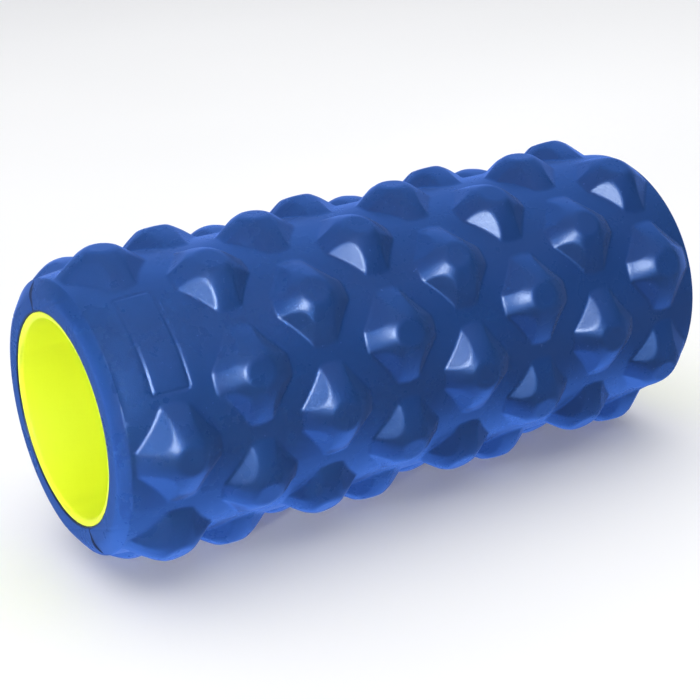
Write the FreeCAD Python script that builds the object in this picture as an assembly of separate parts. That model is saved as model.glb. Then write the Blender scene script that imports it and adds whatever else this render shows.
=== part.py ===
"""Hollow-core massage foam roller: a rigid tube with a moulded, nodule-covered foam sleeve bonded round it.

Frame: millimetres, +Z up, +X along the roller's axis, origin at the middle of the bore's axis.
Angles round the roller are measured from straight up (+Z) towards -Y.
Each separate piece is one STEP file in parts/.
"""
import FreeCAD, Part
import math
import os

# Overall size
LENGTH = 305.0
OVERALL_R = 71.0  # over the flat tops of the nodules
BODY_R = 62.6  # the foam's surface between the nodules

# Rigid core tube
TUBE_OUTER_R = 46.5
TUBE_WALL = 3.0
TUBE_RECESS = 0.5  # how far the tube stands back from each foam end
TUBE_LIP = 1.6  # chamfer round the inner edge at each end

# Bonds
FILM_THICKNESS = 0.3
FILM_RECESS = 1.2
SEAM_THICKNESS = 0.4

# Foam ends
END_FACE_R = 54.4  # flat part of the end face
END_EDGE = 4.6  # rounded edge of the end face
TAPER_LENGTH = 38.0  # the body swells to its full radius over this length

# Nodules
RINGS = 8
PER_RING = 8
RING_PITCH = 36.2
ROW_STEP = 180.0 / PER_RING  # degrees from one staggered row to the next
FIRST_ROW = 67.5  # the row at the middle of the front half; it puts a row of discs straight down
TOP_DISC_R = 7.5
RIB_SLOPE = 0.85  # fall of the conical flanks, mm per mm
FACET_SLOPE = 1.2  # fall of the four flat facets, mm per mm
FACET_REACH = 15.5  # from the nodule's centre to a facet's foot
FACET_TURN = 45.0  # direction of the facets, degrees from the roller's axis
ROOT_DEPTH = 3.0  # how far a nodule is sunk into the body before the two are joined

# The blank name plate takes the place of one nodule
PLATE_RING = 0
PLATE_ROW = -1

ORIGIN = FreeCAD.Vector(0, 0, 0)
X_AXIS = FreeCAD.Vector(1, 0, 0)
Z_AXIS = FreeCAD.Vector(0, 0, 1)
HALF = LENGTH / 2


def ring_solid(inner_r, outer_r, length):
    """A plain tube along X, centred on the origin."""
    start = FreeCAD.Vector(-length / 2, 0, 0)
    outer = Part.makeCylinder(outer_r, length, start, X_AXIS)
    inner = Part.makeCylinder(inner_r, length, start, X_AXIS)
    return outer.cut(inner)


def revolved(edges):
    """The solid swept by a closed outline in the XZ plane round the X axis."""
    face = Part.Face(Part.Wire(Part.__sortEdges__(edges)))
    return face.revolve(ORIGIN, X_AXIS, 360)


def line(start, end):
    return Part.LineSegment(start, end).toShape()


def arc(start, middle, end):
    return Part.Arc(start, middle, end).toShape()


def profile_point(x, r):
    return FreeCAD.Vector(x, 0, r)


def core_tube():
    """The rigid tube, with a chamfered inner edge at both ends."""
    half = HALF - TUBE_RECESS
    inner_r = TUBE_OUTER_R - TUBE_WALL
    outline = [
        profile_point(-half, TUBE_OUTER_R),
        profile_point(half, TUBE_OUTER_R),
        profile_point(half, inner_r + TUBE_LIP),
        profile_point(half - TUBE_LIP, inner_r),
        profile_point(-half + TUBE_LIP, inner_r),
        profile_point(-half, inner_r + TUBE_LIP),
    ]
    edges = [line(a, b) for a, b in zip(outline, outline[1:] + outline[:1])]
    return revolved(edges)


def end_outline(side):
    """The foam's outline at one end, from the bore to the full body radius."""
    edge_r = END_FACE_R + END_EDGE
    x_face = side * HALF
    x_edge = side * (HALF - END_EDGE)
    x_full = side * (HALF - TAPER_LENGTH)
    bore = profile_point(x_face, TUBE_OUTER_R + FILM_THICKNESS)
    face = profile_point(x_face, END_FACE_R)
    bulge = END_EDGE * math.sqrt(0.5)
    edge_middle = profile_point(side * (HALF - END_EDGE + bulge), END_FACE_R + bulge)
    edge = profile_point(x_edge, edge_r)
    # the taper is an arc that ends level with the body, so its middle is three quarters of the way up
    taper_middle = profile_point((x_edge + x_full) / 2, edge_r + 0.75 * (BODY_R - edge_r))
    full = profile_point(x_full, BODY_R)
    edges = [line(bore, face), arc(face, edge_middle, edge), arc(edge, taper_middle, full)]
    return bore, full, edges


def foam_body():
    """The sleeve without its nodules."""
    left_bore, left_full, left = end_outline(-1)
    right_bore, right_full, right = end_outline(1)
    return revolved(left + right + [line(left_full, right_full), line(left_bore, right_bore)])


def facet_outline(reach, z):
    """A rhombus whose four sides stand reach away from the nodule's centre line."""
    turn = math.radians(FACET_TURN)
    along = reach / math.cos(turn)
    around = reach / math.sin(turn)
    corners = [
        FreeCAD.Vector(along, 0, z),
        FreeCAD.Vector(0, around, z),
        FreeCAD.Vector(-along, 0, z),
        FreeCAD.Vector(0, -around, z),
    ]
    return Part.makePolygon(corners + corners[:1])


def nodule():
    """One nodule, standing up along +Z from the roller's axis: a flat-topped cone cut by four facets."""
    height = OVERALL_R - BODY_R
    low = BODY_R - ROOT_DEPTH
    foot_r = TOP_DISC_R + (height + ROOT_DEPTH) / RIB_SLOPE
    base = FreeCAD.Vector(0, 0, low)
    cone = Part.makeCone(foot_r, TOP_DISC_R, height + ROOT_DEPTH, base, Z_AXIS)
    wide = facet_outline(FACET_REACH + ROOT_DEPTH / FACET_SLOPE, low)
    narrow = facet_outline(FACET_REACH - height / FACET_SLOPE, OVERALL_R)
    return cone.common(Part.makeLoft([wide, narrow], True, True))


def ring_x(ring):
    """The rings are spaced evenly about the middle of the roller."""
    return (ring - (RINGS - 1) / 2) * RING_PITCH


def nodules():
    """All nodules in place. Alternate rings are staggered by half a step."""
    master = nodule()
    placed = []
    for ring in range(RINGS):
        for row in range(-PER_RING, PER_RING):
            staggered_out = (ring + row) % 2 == 0
            if staggered_out or (ring, row) == (PLATE_RING, PLATE_ROW):
                continue
            copy = master.copy()
            copy.rotate(ORIGIN, X_AXIS, FIRST_ROW + row * ROW_STEP)
            copy.translate(FreeCAD.Vector(ring_x(ring), 0, 0))
            placed.append(copy)
    return placed


def half_space(sign, gap):
    """A large block on one side of the seam plane, gap / 2 away from it; sign 1 is the front."""
    reach = 2 * OVERALL_R
    corner = FreeCAD.Vector(-LENGTH, -reach, gap / 2)
    block = Part.makeBox(2 * LENGTH, 2 * reach, reach, corner)
    block.rotate(ORIGIN, X_AXIS, FIRST_ROW if sign > 0 else FIRST_ROW + 180)
    return block


def seam_slab(sign):
    """The thin slab that a seam fills, on one side of the bore; sign 1 is the upper seam."""
    reach = 2 * OVERALL_R
    corner = FreeCAD.Vector(-LENGTH, 0, -SEAM_THICKNESS / 2)
    slab = Part.makeBox(2 * LENGTH, reach, SEAM_THICKNESS, corner)
    slab.rotate(ORIGIN, X_AXIS, FIRST_ROW if sign > 0 else FIRST_ROW + 180)
    return slab


def build():
    foam = foam_body().fuse(nodules())
    film = ring_solid(TUBE_OUTER_R, TUBE_OUTER_R + FILM_THICKNESS, LENGTH - 2 * FILM_RECESS)
    return {
        "core_tube": core_tube(),
        "bond_film_front": film.common(half_space(1, 0)),
        "bond_film_rear": film.common(half_space(-1, 0)),
        "foam_half_front": foam.common(half_space(1, SEAM_THICKNESS)),
        "foam_half_rear": foam.common(half_space(-1, SEAM_THICKNESS)),
        "seam_bond_upper": foam.common(seam_slab(1)),
        "seam_bond_lower": foam.common(seam_slab(-1)),
    }


os.makedirs("parts", exist_ok=True)
for name, shape in build().items():
    solid = shape.removeSplitter()
    box = solid.BoundBox
    print(
        f"{name}: {len(solid.Solids)} solid, valid {solid.isValid()}, {solid.Volume / 1000:.1f} cm3,"
        f" x {box.XMin:.2f}..{box.XMax:.2f} y {box.YMin:.2f}..{box.YMax:.2f} z {box.ZMin:.2f}..{box.ZMax:.2f}"
    )
    solid.exportStep(f"parts/{name}.step")
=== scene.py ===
"""The looks of a hollow-core massage foam roller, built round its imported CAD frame.

The foam halves, the glue lines between them and the tube are rebuilt here as finer meshes; the two
bond films are shown as packed. Sizes are millimetres, and MM turns them into metres; only the lights
and the floor are given in metres. Angles round the roller are radians from straight up (+Z) towards
-Y, as in the CAD model.
"""

import math

import bpy
import numpy as np
from mathutils import Matrix, Vector

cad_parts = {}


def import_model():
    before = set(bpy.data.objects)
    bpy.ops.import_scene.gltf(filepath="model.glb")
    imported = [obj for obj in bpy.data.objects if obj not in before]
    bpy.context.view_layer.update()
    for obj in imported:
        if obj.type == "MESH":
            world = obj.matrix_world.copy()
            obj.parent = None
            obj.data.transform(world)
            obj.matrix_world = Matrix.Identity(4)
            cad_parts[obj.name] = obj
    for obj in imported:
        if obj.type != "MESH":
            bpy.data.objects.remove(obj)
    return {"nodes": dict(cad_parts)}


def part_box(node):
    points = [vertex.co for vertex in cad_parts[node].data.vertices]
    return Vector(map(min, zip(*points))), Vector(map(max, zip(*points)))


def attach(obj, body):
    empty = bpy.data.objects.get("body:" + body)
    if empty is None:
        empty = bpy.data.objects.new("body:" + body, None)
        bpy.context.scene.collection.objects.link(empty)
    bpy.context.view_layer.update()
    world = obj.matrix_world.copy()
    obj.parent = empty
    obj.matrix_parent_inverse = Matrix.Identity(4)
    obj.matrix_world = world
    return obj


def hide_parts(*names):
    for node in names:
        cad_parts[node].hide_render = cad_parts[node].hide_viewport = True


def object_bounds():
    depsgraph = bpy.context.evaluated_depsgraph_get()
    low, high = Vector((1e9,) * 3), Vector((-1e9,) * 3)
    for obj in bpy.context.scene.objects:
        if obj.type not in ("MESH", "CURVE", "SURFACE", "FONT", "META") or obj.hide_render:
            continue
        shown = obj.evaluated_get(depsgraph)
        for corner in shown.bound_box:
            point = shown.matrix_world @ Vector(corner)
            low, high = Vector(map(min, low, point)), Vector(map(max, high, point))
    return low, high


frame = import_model()
cad_low, cad_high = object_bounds()
_, tube_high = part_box("core_tube")
_, film_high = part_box("bond_film_front")

MM = 0.001

# Overall size; the frame gives the sizes that it holds
HALF_LENGTH = cad_high.x / MM
TOP_R = 71.0  # over the flat tops of the nodules
BODY_R = 62.6  # the foam's surface between the nodules
BORE_R = film_high.z / MM

# Tube
TUBE_OUTER_R = tube_high.z / MM
TUBE_HALF_LENGTH = tube_high.x / MM
TUBE_WALL = 3.0
TUBE_LIP = 1.8  # length of the rounded lip along the tube
TUBE_OUTER_ROUND = 0.3
TUBE_END_FLAT = 0.4
TUBE_SEGMENTS = 256

# Foam ends: a flat face, a curved rim and a body that swells to its full radius
END_FACE_R = 53.0
BORE_ROUND = 0.4
BORE_SHADE_WIDTH = 0.75  # width of the ring of painted shade round the bore
RIM_X = 4.3
RIM_R = 60.2
RIM_CURVE = 1.8
TAPER_LENGTH = 39.0

# Nodules
RINGS = 8
PER_RING = 8
RING_PITCH = 36.2
ROW_STEP = math.pi / PER_RING
FIRST_ROW = math.radians(67.5)  # the row at the middle of the front half
DISC_R = 6.3
DOME_SLOPE = 0.57
DOME_BEND = 0.0147
FACET_SLOPE = 1.2
FACET_REACH = 15.45  # from the nodule's centre to a facet's foot
DIAGONAL = math.sqrt(0.5)
DISC_ROUND = 1.0
EDGE_ROUND = 0.5
FOOT_ROUND = 0.9
NODULE_REACH = 28.0  # nothing of a nodule or the plate lies further from its centre

# The blank plate that takes the place of one nodule
PLATE_RING = 0
PLATE_ROW = -1
PLATE_WIDTH = 18.4
PLATE_LENGTH = 48.0
PLATE_CORNER = 2.6
PLATE_DEPTH = 0.34
PLATE_FRAME = 2.2  # width of the groove
PLATE_OUTER_WALL = 0.9
PLATE_INNER_WALL = 0.8

# Seams between the halves
SEAM_GAP = 0.4
SEAM_DIP = 0.25
SEAM_WIDTH = 0.65
GLUE_RECESS = 0.15
FOLD_START = 0.8
FOLD_SLOPE = 0.14
CREASE_DEPTH = 0.3
CREASE_WIDTH = 0.45

# Slow unevenness of the skin: a sum of waves
WAVES = 9
WAVE_HEIGHT = 0.018
WAVE_SEED = 7

# Meshes
GRID_STEP = 0.5
END_STEP = 0.5
BORE_POINTS = 5  # across the rounded edge of the bore
RIM_TO_BODY = 0.3  # from the rim's last point to the body's first
SEAM_BAND = 2.0  # strip beside a seam that has its own, closer columns
SEAM_COLUMNS = (0.0, 0.15, 0.35, 0.65, 1.05, 1.5)
TARGET_TRIANGLES = 190000
SHARP_ANGLE = math.radians(48)
TUBE_SHARP_ANGLE = math.radians(60)

# Glows: azimuth and elevation in degrees, the cosines at their edge and core, and strength
GLOWS = (
    (0, 90, 0.30, 0.90, 0.51),
    (0, -90, 0.50, 0.95, 0.90),
    (170, 5, 0.50, 0.95, 0.62),
    (170, -30, 0.50, 0.95, 0.78),
    (-70, 20, 0.60, 0.98, 0.29),
    (-30, -30, 0.50, 0.95, 0.17),
    (-125, -35, 0.50, 0.95, 0.09),
)
RIM_GLOWS = (
    (120, 10, 0.50, 0.95, 0.13),
    (54, 9, 0.50, 0.95, 0.38),
    (70, -25, 0.50, 0.95, 0.12),
)
GLOW_COLOUR = (0.25, 0.77, 2.85)
RIM_GLOW_COLOUR = (0.36, 0.84, 2.85)
EVEN_STRENGTH = 0.19  # what lights matt surfaces from all round
SEEN_STRENGTH = 0.95  # the background as the camera sees it
KEY_COLOUR = (0.86, 0.93, 1.0)
HALO_COLOUR = (0.15, 0.42, 1.0)


# ---------------------------------------------------------------- shape of the foam

def smooth_min(a, b, reach):
    """The lesser of two heights, with the crease between them rounded over reach."""
    share = np.clip(0.5 + 0.5 * (b - a) / reach, 0, 1)
    return b * (1 - share) + a * share - reach * share * (1 - share)


def smooth_max(a, b, reach):
    return -smooth_min(-a, -b, reach)


def smooth_step(low, high, value):
    share = np.clip((value - low) / (high - low), 0, 1)
    return share * share * (3 - 2 * share)


def nodule_radius(along, around):
    """A nodule's surface: a flat-topped dome cut by four facets that face along the diagonals."""
    cos_around = np.cos(around)
    sin_around = np.abs(np.sin(around))
    disc = TOP_R / cos_around
    dome = disc
    for _ in range(3):
        past_disc = np.hypot(along, dome * sin_around) - DISC_R
        fall = DOME_SLOPE * past_disc + DOME_BEND * np.maximum(past_disc, 0) ** 2
        dome = (TOP_R - fall) / cos_around
    lean = FACET_SLOPE * DIAGONAL
    facet = BODY_R + FACET_SLOPE * FACET_REACH - lean * np.abs(along)
    facet = facet / (cos_around + lean * sin_around)
    return smooth_min(smooth_min(dome, disc, DISC_ROUND), facet, EDGE_ROUND)


def body_radius(x):
    """The foam's surface without its nodules; it swells gently from each rim."""
    from_end = HALF_LENGTH - np.abs(x)
    share = np.clip((TAPER_LENGTH - from_end) / (TAPER_LENGTH - RIM_X), 0, 1)
    return BODY_R - (BODY_R - RIM_R) * share * share


def ring_x(ring):
    return (ring - (RINGS - 1) / 2) * RING_PITCH


def row_angle(row):
    return FIRST_ROW + row * ROW_STEP


def plate_height(along, around):
    """A groove along a rounded rectangle, so that it reads as an empty frame."""
    out_x = np.abs(along) - (PLATE_WIDTH / 2 - PLATE_CORNER)
    out_y = np.abs(around) - (PLATE_LENGTH / 2 - PLATE_CORNER)
    outside = np.hypot(np.maximum(out_x, 0), np.maximum(out_y, 0))
    inward = PLATE_CORNER - outside - np.minimum(np.maximum(out_x, out_y), 0)
    sink = smooth_step(0, PLATE_OUTER_WALL, inward)
    rise = smooth_step(PLATE_FRAME - PLATE_INNER_WALL, PLATE_FRAME, inward)
    return PLATE_DEPTH * (rise - sink)


def skin_waviness(x, angle):
    """Slow, shallow unevenness of a moulded foam skin."""
    rng = np.random.default_rng(WAVE_SEED)
    height = np.zeros(np.broadcast(x, angle).shape)
    for _ in range(WAVES):
        per_length = rng.uniform(0.02, 0.11)
        per_turn = rng.integers(2, 9)
        phase = rng.uniform(0, 2 * math.pi)
        height += np.sin(per_length * x + per_turn * angle + phase)
    return WAVE_HEIGHT * height


def foam_radius(x, angle, seams):
    """The foam's outer radius over a grid; x is a column of places, angle a row of angles."""
    x = x[:, None]
    angle = angle[None, :]
    radius = body_radius(x) + 0 * angle
    for ring in range(RINGS):
        near_rows = np.abs(x[:, 0] - ring_x(ring)) < NODULE_REACH
        for row in range(-PER_RING, PER_RING):
            if (ring + row) % 2 == 0:
                continue
            around = (angle[0] - row_angle(row) + math.pi) % (2 * math.pi) - math.pi
            near_columns = np.abs(around) * TOP_R < NODULE_REACH
            if not near_columns.any():
                continue
            block = np.ix_(near_rows, near_columns)
            along = (x[near_rows] - ring_x(ring)) + 0 * around[None, near_columns]
            around = around[None, near_columns] + 0 * along
            if (ring, row) == (PLATE_RING, PLATE_ROW):
                radius[block] += plate_height(along, around * BODY_R)
            else:
                radius[block] = smooth_max(radius[block], nodule_radius(along, around), FOOT_ROUND)
    radius += skin_waviness(x, angle)
    for seam in seams:
        radius -= SEAM_DIP * np.exp(-(((angle - seam) * BODY_R / SEAM_WIDTH) ** 2))
    return radius


def end_profile():
    """Depth below the end face, and radius, of points along its outline from bore to rim."""
    points = []
    for turn in np.linspace(0, math.pi / 2, BORE_POINTS):
        depth = BORE_ROUND * (1 - math.sin(turn))
        points.append((depth, BORE_R + BORE_ROUND * (1 - math.cos(turn))))
    face_steps = int((END_FACE_R - BORE_R) / END_STEP)
    for r in np.linspace(BORE_R + BORE_ROUND, END_FACE_R, face_steps)[1:]:
        points.append((0.0, r))
    curve_steps = int((RIM_R - END_FACE_R) / END_STEP)
    for share in np.linspace(0, 1, curve_steps)[1:]:
        points.append((RIM_X * share**RIM_CURVE, END_FACE_R + (RIM_R - END_FACE_R) * share))
    return points


def seam_press(x, radius, angle, seams):
    """How far the end face is pressed in: past a straight fold, and in a groove along each seam."""
    pressed = 0 * angle * radius
    for seam in seams:
        out = radius * np.cos(angle - seam) - BORE_R - FOLD_START
        across = radius * np.sin(angle - seam)
        groove = SEAM_DIP * np.exp(-((across / SEAM_WIDTH) ** 2)) * (out > 0)
        crease = CREASE_DEPTH * np.exp(-((out / CREASE_WIDTH) ** 2))
        pressed += FOLD_SLOPE * np.maximum(out, 0) + crease + groove
    return pressed * (1 - x / RIM_X)


def angles_between(start, end):
    """Angles across one half, closer together at the two seams."""
    close = np.array(SEAM_COLUMNS) / BODY_R
    band = SEAM_BAND / BODY_R
    mean_r = BODY_R + 3
    count = int((end - start) * mean_r / GRID_STEP)
    middle = np.linspace(start + band, end - band, count)
    return np.concatenate([start + close, middle, end - close[::-1]])


def foam_points(start, end, seams):
    """One half's outer skin as a grid: rows run along the outline, columns round the roller."""
    angle = angles_between(start, end)
    profile = end_profile()
    end_x = np.array([x for x, _ in profile])[:, None]
    end_r = np.array([r for _, r in profile])[:, None] + 0 * angle
    end_x = -HALF_LENGTH + end_x + seam_press(end_x, end_r, angle, seams)
    body_x = np.arange(-HALF_LENGTH + RIM_X + RIM_TO_BODY, 0.0, GRID_STEP)
    body_x = np.concatenate([body_x, -body_x[::-1]])
    radius = np.concatenate([end_r, foam_radius(body_x, angle, seams), end_r[::-1]])
    x = np.concatenate([end_x, body_x[:, None] + 0 * angle, -end_x[::-1]])
    return np.stack([x, -radius * np.sin(angle), radius * np.cos(angle)], axis=-1) * MM


# ---------------------------------------------------------------- meshes

def mesh_object(name, points, faces, sharp=SHARP_ANGLE):
    mesh = bpy.data.meshes.new(name)
    mesh.from_pydata(points, [], faces)
    mesh.update()
    piece = bpy.data.objects.new(name, mesh)
    bpy.context.scene.collection.objects.link(piece)
    shade(mesh, sharp)
    return piece


def shade(mesh, sharp):
    mesh.shade_smooth()
    mesh.set_sharp_from_angle(angle=sharp)


def grid_faces(rows, columns):
    """Quads of a grid whose outward side is the one that the columns turn round."""
    corner = (np.arange(rows - 1)[:, None] * columns + np.arange(columns - 1)[None, :]).ravel()
    return np.stack([corner, corner + 1, corner + columns + 1, corner + columns], axis=-1).tolist()


def thin_out(piece, triangles):
    """Keeps the detail where the shape turns and takes triangles out of its flat parts."""
    piece.data.calc_loop_triangles()
    share = triangles / len(piece.data.loop_triangles)
    if share >= 1:
        return
    thin = piece.modifiers.new("thin", "DECIMATE")
    thin.ratio = share
    shape = piece.evaluated_get(bpy.context.evaluated_depsgraph_get())
    mesh = bpy.data.meshes.new_from_object(shape)
    piece.modifiers.clear()
    piece.data = mesh
    mesh.name = piece.name
    shade(mesh, SHARP_ANGLE)


def foam_half(name, middle):
    """One moulded half: its skin, its bore side and its two flat seam faces, as one closed mesh."""
    edge = SEAM_GAP / 2 / BODY_R
    start = middle - math.pi / 2
    end = middle + math.pi / 2
    grid = foam_points(start + edge, end - edge, (start, end))
    rows, columns = grid.shape[:2]
    faces = grid_faces(rows, columns)
    last = (rows - 1) * columns
    faces += [(j + 1, j, last + j, last + j + 1) for j in range(columns - 1)]
    faces.append([i * columns for i in range(rows)])
    faces.append([i * columns + columns - 1 for i in reversed(range(rows))])
    piece = mesh_object(name, grid.reshape(-1, 3).tolist(), faces)
    thin_out(piece, TARGET_TRIANGLES)
    return piece


def glue_line(name, angle):
    """The cured glue between the halves: a thin strip that lies a little below their outline."""
    x = np.arange(-HALF_LENGTH + RIM_X, HALF_LENGTH - RIM_X + GRID_STEP / 2, GRID_STEP)
    outline_r = foam_radius(x, np.array([angle]), (angle,))[:, 0] - GLUE_RECESS
    ends = [
        (depth - HALF_LENGTH + GLUE_RECESS, r - GLUE_RECESS)
        for depth, r in end_profile()[BORE_POINTS:]
    ]
    far_ends = [(-place, r) for place, r in reversed(ends)]
    outline = ends + list(zip(x.tolist(), outline_r.tolist())) + far_ends
    reach = SEAM_GAP / 2
    across = Vector((0, -math.cos(angle), -math.sin(angle)))
    outward = Vector((0, -math.sin(angle), math.cos(angle)))
    outline += [(outline[-1][0], BORE_R), (outline[0][0], BORE_R)]
    points = []
    for side in (-1, 1):
        for place, r in outline:
            along = Vector((place, 0, 0))
            points.append((along + outward * float(r) + across * side * reach) * MM)
    count = len(points) // 2
    faces = [list(range(count)), [count + i for i in reversed(range(count))]]
    faces += [(i, count + i, count + (i + 1) % count, (i + 1) % count) for i in range(count)]
    return mesh_object(name, [tuple(p) for p in points], faces)


def tube_profile():
    """The tube's outline at the near end, from its outer wall round the lip to its bore."""
    inner_r = TUBE_OUTER_R - TUBE_WALL
    points = []
    for turn in np.linspace(0, math.pi / 2, 5):
        depth = TUBE_OUTER_ROUND * (1 - math.sin(turn))
        points.append((depth, TUBE_OUTER_R - TUBE_OUTER_ROUND * (1 - math.cos(turn))))
    lip_height = TUBE_WALL - TUBE_OUTER_ROUND - TUBE_END_FLAT
    for turn in np.linspace(0, math.pi / 2, 12):
        depth = TUBE_LIP * (1 - math.cos(turn))
        points.append((depth, inner_r + lip_height * (1 - math.sin(turn))))
    return points


def core_tube(name):
    """The tube, turned round the axis, with a rounded lip at both ends."""
    end = [(-TUBE_HALF_LENGTH + x, r) for x, r in tube_profile()]
    inner = [(x, end[-1][1]) for x in np.linspace(end[-1][0], -end[-1][0], 60)[1:-1]]
    outer = [(x, end[0][1]) for x in np.linspace(-end[0][0], end[0][0], 12)[1:-1]]
    outline = end + inner + [(-x, r) for x, r in reversed(end)] + outer
    points = []
    for x, r in outline:
        for k in range(TUBE_SEGMENTS):
            angle = 2 * math.pi * k / TUBE_SEGMENTS
            points.append((x * MM, -r * math.sin(angle) * MM, r * math.cos(angle) * MM))
    faces = []
    rows = len(outline)
    for i in range(rows):
        this = i * TUBE_SEGMENTS
        following = (i + 1) % rows * TUBE_SEGMENTS
        for k in range(TUBE_SEGMENTS):
            after = (k + 1) % TUBE_SEGMENTS
            faces.append((this + k, following + k, following + after, this + after))
    return mesh_object(name, points, faces, TUBE_SHARP_ANGLE)


# ---------------------------------------------------------------- materials

FOAM_DARK = (0.0112, 0.047, 0.164)
FOAM_LIGHT = (0.0138, 0.056, 0.192)
FOAM_FLECK = (0.05, 0.11, 0.30)
FOAM_WORN = (0.022, 0.080, 0.25)
LIME_DARK = (0.80, 0.91, 0.030)
LIME_LIGHT = (0.83, 0.93, 0.036)
# painted glow: the colour of the tube's faint emission, which stands in for light inside the bore
LIME_PAINTED_GLOW = (0.86, 0.98, 0.055)
GLUE_DARK = (0.006, 0.014, 0.045)
GLUE_LIGHT = (0.014, 0.030, 0.085)
# painted shade: the colour of the dark ring on the foam round the bore
BORE_SHADE_DARK = (0.004, 0.010, 0.030)
FLOOR_DARK = (0.86, 0.86, 0.86)
FLOOR_LIGHT = (0.88, 0.88, 0.88)


def new_material(name):
    material = bpy.data.materials.new(name)
    material.use_nodes = True
    nodes = material.node_tree.nodes
    return material, nodes, material.node_tree.links, nodes["Principled BSDF"]


def place_node(nodes, links, stretch=(1, 1, 1)):
    """Object coordinates, stretched along the axes."""
    where = nodes.new("ShaderNodeTexCoord")
    scale = nodes.new("ShaderNodeMapping")
    scale.inputs["Scale"].default_value = stretch
    links.new(where.outputs["Object"], scale.inputs["Vector"])
    return scale.outputs["Vector"]


def noise(nodes, links, place, scale, detail=3.0, roughness=0.5):
    node = nodes.new("ShaderNodeTexNoise")
    node.inputs["Scale"].default_value = scale
    node.inputs["Detail"].default_value = detail
    node.inputs["Roughness"].default_value = roughness
    links.new(place, node.inputs["Vector"])
    return node.outputs["Fac"]


def ramp(nodes, links, value, *stops):
    """A colour ramp; each stop is a place from 0 to 1 and a colour."""
    node = nodes.new("ShaderNodeValToRGB")
    elements = node.color_ramp.elements
    while len(elements) < len(stops):
        elements.new(0.5)
    for element, (place, colour) in zip(elements, stops):
        element.position = place
        element.color = (*colour, 1)
    links.new(value, node.inputs["Fac"])
    return node.outputs["Color"]


def spread(nodes, links, value, from_low, from_high, to_low, to_high):
    """A value moved from one range to another."""
    node = nodes.new("ShaderNodeMapRange")
    for socket, number in zip(node.inputs[1:5], (from_low, from_high, to_low, to_high)):
        socket.default_value = number
    links.new(value, node.inputs["Value"])
    return node.outputs["Result"]


def mix_colour(nodes, links, share, first, second):
    """A mix of two colours, each a socket or a plain colour, by a share that is a socket."""
    node = nodes.new("ShaderNodeMix")
    node.data_type = "RGBA"
    links.new(share, node.inputs[0])
    for value, socket in ((first, node.inputs[6]), (second, node.inputs[7])):
        if isinstance(value, tuple):
            socket.default_value = (*value, 1)
        else:
            links.new(value, socket)
    return node.outputs[2]


def bump(nodes, links, height, distance, strength, below=None):
    node = nodes.new("ShaderNodeBump")
    node.inputs["Distance"].default_value = distance
    node.inputs["Strength"].default_value = strength
    links.new(height, node.inputs["Height"])
    if below is not None:
        links.new(below, node.inputs["Normal"])
    return node.outputs["Normal"]


def painted_bore_shade(nodes, links):
    """1 on the foam's edge round the bore, where shade is painted as a dark ring, and 0 elsewhere.
    """
    from_axis = nodes.new("ShaderNodeVectorMath")
    from_axis.operation = "LENGTH"
    links.new(place_node(nodes, links, (0, 1, 1)), from_axis.inputs[0])
    edge = BORE_R + BORE_SHADE_WIDTH
    inside, outside = (edge - 0.2) * MM, (edge + 0.1) * MM
    return spread(nodes, links, from_axis.outputs["Value"], inside, outside, 1.0, 0.0)


def foam_material():
    """Closed-cell foam with a satin moulded skin: mottled blue, fine grain, paler worn edges, and
    painted shade in a dark ring round the bore.
    """
    material, nodes, links, shader = new_material("foam_blue")
    place = place_node(nodes, links)
    mottle = noise(nodes, links, place, 22, 4, 0.55)
    base = ramp(nodes, links, mottle, (0.3, FOAM_DARK), (0.7, FOAM_LIGHT))
    specks = noise(nodes, links, place, 520, 1, 0.4)
    flecks = ramp(nodes, links, specks, (0.765, (0, 0, 0)), (0.80, (1, 1, 1)))
    flecked = mix_colour(nodes, links, flecks, base, FOAM_FLECK)
    shape = nodes.new("ShaderNodeNewGeometry")
    wear = spread(nodes, links, shape.outputs["Pointiness"], 0.50, 0.56, 0.0, 0.35)
    worn = mix_colour(nodes, links, wear, flecked, FOAM_WORN)
    # painted shade: a dark ring on the foam round the bore, where its wall lies in shade
    edged = mix_colour(nodes, links, painted_bore_shade(nodes, links), worn, BORE_SHADE_DARK)
    links.new(edged, shader.inputs["Base Color"])
    gloss = noise(nodes, links, place, 60, 5, 0.6)
    links.new(spread(nodes, links, gloss, 0.3, 0.7, 0.25, 0.31), shader.inputs["Roughness"])
    sparkle = noise(nodes, links, place, 2100, 1, 0.5)
    links.new(spread(nodes, links, sparkle, 0.48, 0.64, 0.0, 0.34), shader.inputs["Coat Weight"])
    shader.inputs["Coat Roughness"].default_value = 0.18
    shader.inputs["Specular IOR Level"].default_value = 0.45
    shader.inputs["Specular Tint"].default_value = (0.80, 0.87, 1.0, 1)
    shader.inputs["Sheen Weight"].default_value = 0.06
    shader.inputs["Sheen Roughness"].default_value = 0.4
    grain = noise(nodes, links, place, 1800, 1, 0.6)
    grained = bump(nodes, links, grain, 0.06 * MM, 0.8)
    ripple = noise(nodes, links, place, 240, 3, 0.5)
    links.new(bump(nodes, links, ripple, 0.1 * MM, 0.35, grained), shader.inputs["Normal"])
    return material


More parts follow.
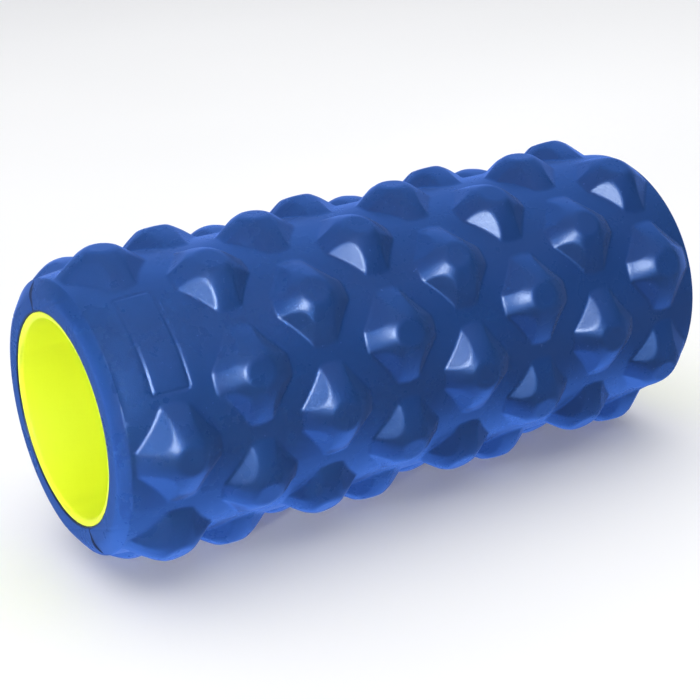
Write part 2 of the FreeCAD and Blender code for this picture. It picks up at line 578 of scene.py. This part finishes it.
def tube_material():
    """Bright lime plastic with faint draw lines along its length, and a faint painted glow that
    stands in for light inside the bore.
    """
    material, nodes, links, shader = new_material("tube_lime")
    place = place_node(nodes, links)
    tint = noise(nodes, links, place, 14, 3, 0.5)
    base = ramp(nodes, links, tint, (0.35, LIME_DARK), (0.65, LIME_LIGHT))
    links.new(base, shader.inputs["Base Color"])
    gloss = noise(nodes, links, place, 90, 4, 0.6)
    links.new(spread(nodes, links, gloss, 0.3, 0.7, 0.42, 0.50), shader.inputs["Roughness"])
    shader.inputs["Specular IOR Level"].default_value = 0.2
    # painted glow: a faint emission that brightens the tube in place of light inside the bore
    shader.inputs["Emission Color"].default_value = (*LIME_PAINTED_GLOW, 1)
    shader.inputs["Emission Strength"].default_value = 0.06
    drawn = place_node(nodes, links, (6, 160, 160))
    lines = noise(nodes, links, drawn, 5, 3, 0.6)
    ridges = bump(nodes, links, lines, 0.06 * MM, 0.2)
    peel = noise(nodes, links, place, 420, 2, 0.5)
    links.new(bump(nodes, links, peel, 0.02 * MM, 0.2, ridges), shader.inputs["Normal"])
    return material


def glue_material():
    """Dark cured contact adhesive, slightly lumpy."""
    material, nodes, links, shader = new_material("glue_dark")
    place = place_node(nodes, links)
    lumps = noise(nodes, links, place, 380, 4, 0.6)
    base = ramp(nodes, links, lumps, (0.35, GLUE_DARK), (0.7, GLUE_LIGHT))
    links.new(base, shader.inputs["Base Color"])
    links.new(spread(nodes, links, lumps, 0.3, 0.7, 0.45, 0.7), shader.inputs["Roughness"])
    links.new(bump(nodes, links, lumps, 0.15 * MM, 0.5), shader.inputs["Normal"])
    return material


def floor_material():
    """Matt white, lifted a little so that it reads as paper."""
    material, nodes, links, shader = new_material("floor_white")
    cloud = noise(nodes, links, place_node(nodes, links), 3, 2)
    base = ramp(nodes, links, cloud, (0.3, FLOOR_DARK), (0.7, FLOOR_LIGHT))
    links.new(base, shader.inputs["Base Color"])
    shader.inputs["Roughness"].default_value = 0.9
    shader.inputs["Specular IOR Level"].default_value = 0.1
    shader.inputs["Emission Color"].default_value = (1, 1, 1, 1)
    shader.inputs["Emission Strength"].default_value = 0.15
    return material


# ---------------------------------------------------------------- stage

def direction(azimuth, elevation):
    """A unit vector; azimuth is degrees from +X towards +Y."""
    flat = math.cos(math.radians(elevation))
    turn = math.radians(azimuth)
    return Vector((flat * math.cos(turn), flat * math.sin(turn), math.sin(math.radians(elevation))))


def softbox(name, azimuth, elevation, distance, size, power, colour=(1, 1, 1)):
    """A rectangular light that faces the middle of the roller."""
    light = bpy.data.lights.new(name, "AREA")
    light.shape = "RECTANGLE"
    light.size, light.size_y = size
    light.energy = power
    light.color = colour
    lamp = bpy.data.objects.new(name, light)
    towards = direction(azimuth, elevation)
    lamp.location = towards * distance
    lamp.rotation_mode = "QUATERNION"
    lamp.rotation_quaternion = towards.to_track_quat("Z", "Y")
    bpy.context.scene.collection.objects.link(lamp)
    return lamp


def floor():
    """A flat floor at the roller's lowest point, wide enough for every view."""
    reach = 6.0
    steps = 24
    places = np.linspace(-reach, reach, steps + 1)
    points = [(x, y, cad_low.z) for x in places for y in places]
    faces = grid_faces(steps + 1, steps + 1)
    piece = mesh_object("floor", points, [tuple(reversed(f)) for f in faces])
    piece.data.materials.append(floor_material())
    piece.visible_glossy = False


def glow_light(nodes, links, glows, colour):
    """The light of a group of glows, as a colour that depends on the direction looked in."""
    where = nodes.new("ShaderNodeTexCoord")
    total = None
    for azimuth, elevation, edge, core, strength in glows:
        facing = nodes.new("ShaderNodeVectorMath")
        facing.operation = "DOT_PRODUCT"
        facing.inputs[1].default_value = direction(azimuth, elevation)
        links.new(where.outputs["Generated"], facing.inputs[0])
        glow = spread(nodes, links, facing.outputs["Value"], edge, core, 0.0, strength)
        glow.node.interpolation_type = "SMOOTHSTEP"
        if total is None:
            total = glow
            continue
        both = nodes.new("ShaderNodeMath")
        both.operation = "ADD"
        links.new(total, both.inputs[0])
        links.new(glow, both.inputs[1])
        total = both.outputs["Value"]
    tinted = nodes.new("ShaderNodeVectorMath")
    tinted.operation = "SCALE"
    tinted.inputs[0].default_value = colour
    links.new(total, tinted.inputs["Scale"])
    return tinted.outputs["Vector"]


def world():
    """A pale studio: an even light, and soft blue glows that show only as reflections."""
    scene_world = bpy.data.worlds.new("studio")
    scene_world.use_nodes = True
    bpy.context.scene.world = scene_world
    nodes, links = scene_world.node_tree.nodes, scene_world.node_tree.links
    glows = nodes.new("ShaderNodeVectorMath")
    glows.operation = "ADD"
    links.new(glow_light(nodes, links, GLOWS, GLOW_COLOUR), glows.inputs[0])
    links.new(glow_light(nodes, links, RIM_GLOWS, RIM_GLOW_COLOUR), glows.inputs[1])
    ray = nodes.new("ShaderNodeLightPath")
    seen = (SEEN_STRENGTH,) * 3
    even = (EVEN_STRENGTH,) * 3
    plain = mix_colour(nodes, links, ray.outputs["Is Diffuse Ray"], seen, even)
    light = mix_colour(nodes, links, ray.outputs["Is Glossy Ray"], plain, glows.outputs["Vector"])
    links.new(light, nodes["Background"].inputs["Color"])


def lights():
    """A key and its wide halo, seen only in reflections, and two lights that they leave out."""
    key = softbox("key", -119, 28, 1.3, (0.32, 0.56), 12.5, KEY_COLOUR)
    key.visible_diffuse = False
    halo = softbox("halo", -122, 25, 1.3, (1.25, 1.15), 27, HALO_COLOUR)
    halo.visible_diffuse = False
    bore = softbox("bore", -142, 14, 1.2, (0.2, 0.2), 0.08)
    bore.location += Vector((-HALF_LENGTH * MM, 0, 0))
    bore.data.spread = math.radians(10)
    bore.visible_glossy = False
    overhead = softbox("overhead", 0, 90, 1.6, (3.2, 3.2), 48)
    overhead.visible_glossy = False


def camera():
    """A long lens, above and to the left of the near end, tilted a few degrees."""
    data = bpy.data.cameras.new("camera")
    data.lens = 86.3
    data.sensor_width = 36.0
    data.clip_start = 0.01
    data.clip_end = 50.0
    view = bpy.data.objects.new("camera", data)
    place = Vector((-386.8, -615.0, 282.3)) * MM
    aim = Vector((-7.0, 2.1, -4.8)) * MM
    roll = Matrix.Rotation(math.radians(-2.42), 3, "Z")
    turn = (place - aim).to_track_quat("Z", "Y").to_matrix()
    view.matrix_world = Matrix.Translation(place) @ (turn @ roll).to_4x4()
    bpy.context.scene.collection.objects.link(view)
    bpy.context.scene.camera = view


# ---------------------------------------------------------------- assembly

def dress(piece, node, material):
    """Puts a rebuilt piece in the place of its CAD node."""
    piece.data.materials.clear()
    piece.data.materials.append(material)
    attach(piece, "root")
    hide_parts(node)


foam = foam_material()
glue = glue_material()
halves = (("foam_half_front", FIRST_ROW), ("foam_half_rear", FIRST_ROW + math.pi))
for node, middle in halves:
    half = foam_half(node.replace("foam_half", "foam"), middle)
    dress(half, node, foam)

quarter = math.pi / 2
seams = (("seam_bond_upper", FIRST_ROW - quarter), ("seam_bond_lower", FIRST_ROW + quarter))
for node, angle in seams:
    dress(glue_line(node.replace("bond", "glue"), angle), node, glue)

dress(core_tube("tube"), "core_tube", tube_material())

for node in ("bond_film_front", "bond_film_rear"):
    film = frame["nodes"][node]
    for slot in film.material_slots:
        slot.material = glue

floor()
world()
lights()
camera()
bpy.context.scene.view_settings.view_transform = "Standard"
